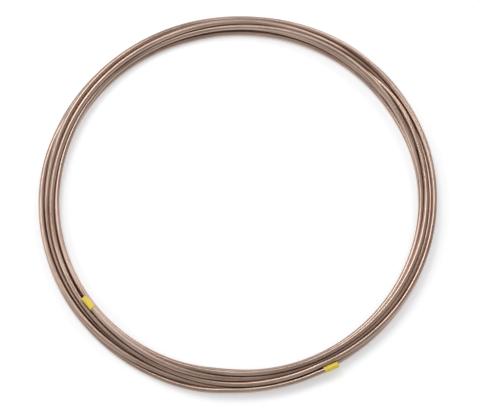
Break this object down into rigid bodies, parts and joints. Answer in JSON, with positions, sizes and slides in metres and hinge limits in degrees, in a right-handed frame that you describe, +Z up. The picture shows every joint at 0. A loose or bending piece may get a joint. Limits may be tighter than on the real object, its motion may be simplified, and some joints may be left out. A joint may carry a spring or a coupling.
{
  "type": "copper tube coil",
  "caption": "Flat round coil of bare copper-nickel line tube, with a soft plastic cap over each cut end. It lies flat, and tube is drawn off from its outer end.",
  "frame": {"origin": "on the coil's axis, at the level of the floor that it lies on", "axes": "+Z up along the coil's axis, -Y towards the side that the picture is taken from, with the outer end cap at the front right and the inner end cap at the front left"},
  "size_m": [0.3526, 0.3526, 0.0151],
  "materials": {
    "tube": "bare drawn copper-nickel, satin, slightly handled",
    "cap": "soft yellow vinyl with a low sheen"
  },
  "bodies": {
    "root": {"tube_coil": "tube", "end_cap_outer": "cap", "end_cap_inner": "cap"}
  },
  "joints": []
}
